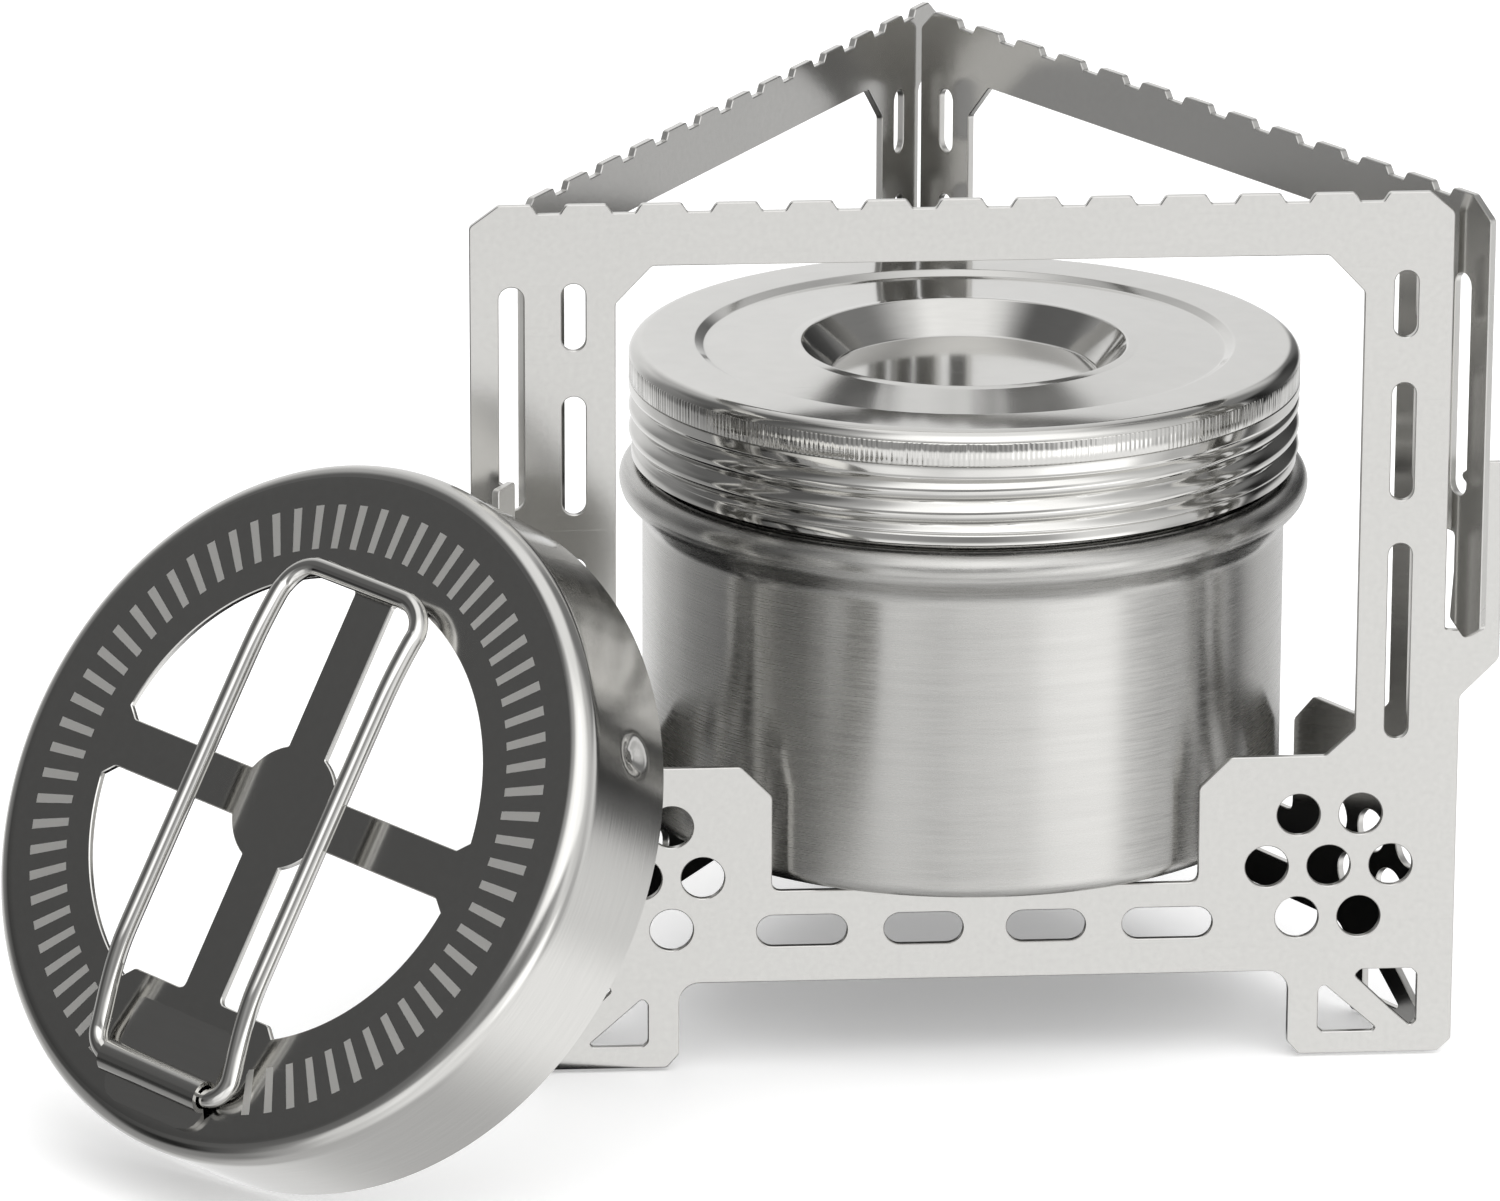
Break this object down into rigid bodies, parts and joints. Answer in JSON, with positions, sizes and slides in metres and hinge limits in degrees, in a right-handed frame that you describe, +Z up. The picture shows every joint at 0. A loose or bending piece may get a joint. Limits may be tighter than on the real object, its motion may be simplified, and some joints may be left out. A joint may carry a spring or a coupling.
{
  "type": "spirit stove",
  "caption": "Triangular slotted-plate pot stand with a screw-lidded spirit burner standing inside it and a round flame regulator with a folding wire handle leaning on one corner.",
  "frame": {"origin": "middle of the whole set's bounding box at ground level", "axes": "+Z up; +X along the front plate of the stand, to the right seen from the front; -Y towards the viewer of the front plate"},
  "size_m": [0.1576, 0.1458, 0.0946],
  "materials": {
    "steel": "satin stainless sheet",
    "brushed": "fine horizontal brushing",
    "polished": "polished stainless",
    "dark": "dark satin stainless, polished edge",
    "wick": "cotton fibre",
    "seal": "silicone"
  },
  "bodies": {
    "stand": {"stand_front_plate": "steel", "stand_right_plate": "steel", "stand_left_plate": "steel"},
    "burner": {"burner_shell": "brushed", "burner_collar": "polished", "burner_jet_wall": "polished", "burner_wick": "wick"},
    "lid_seal": {"lid_seal": "seal"},
    "lid": {"lid_shell": "polished"},
    "regulator": {"regulator_cap": "dark", "regulator_hinge_clip": "dark"},
    "handle": {"regulator_handle": "polished"}
  },
  "joints": [
    {"name": "burner_lift", "type": "slide", "parent": "stand", "child": "burner", "axis": [0, 0, 1], "range_m": [0, 0.0099]},
    {"name": "lid_rise", "type": "slide", "parent": "burner", "child": "lid_seal", "axis": [0, 0, 1], "range_m": [0, 0.0063]},
    {"name": "lid_turn", "type": "hinge", "parent": "lid_seal", "child": "lid", "pos_m": [0.02471, 0.0116, 0.065], "axis": [0, 0, 1], "range_deg": [0, 900]},
    {"name": "regulator_lift", "type": "slide", "parent": "stand", "child": "regulator", "axis": [0, 0, 1], "range_m": [0, 0.12]},
    {"name": "handle_swing", "type": "hinge", "parent": "regulator", "child": "handle", "pos_m": [-0.06317, -0.0549, 0.01408], "axis": [0.6917, -0.7173, -0.0842], "range_deg": [0, 130]}
  ],
  "couplings": [
    {"joint": "lid_rise", "follows": "lid_turn", "m_per_rad": 0.00039789}
  ]
}
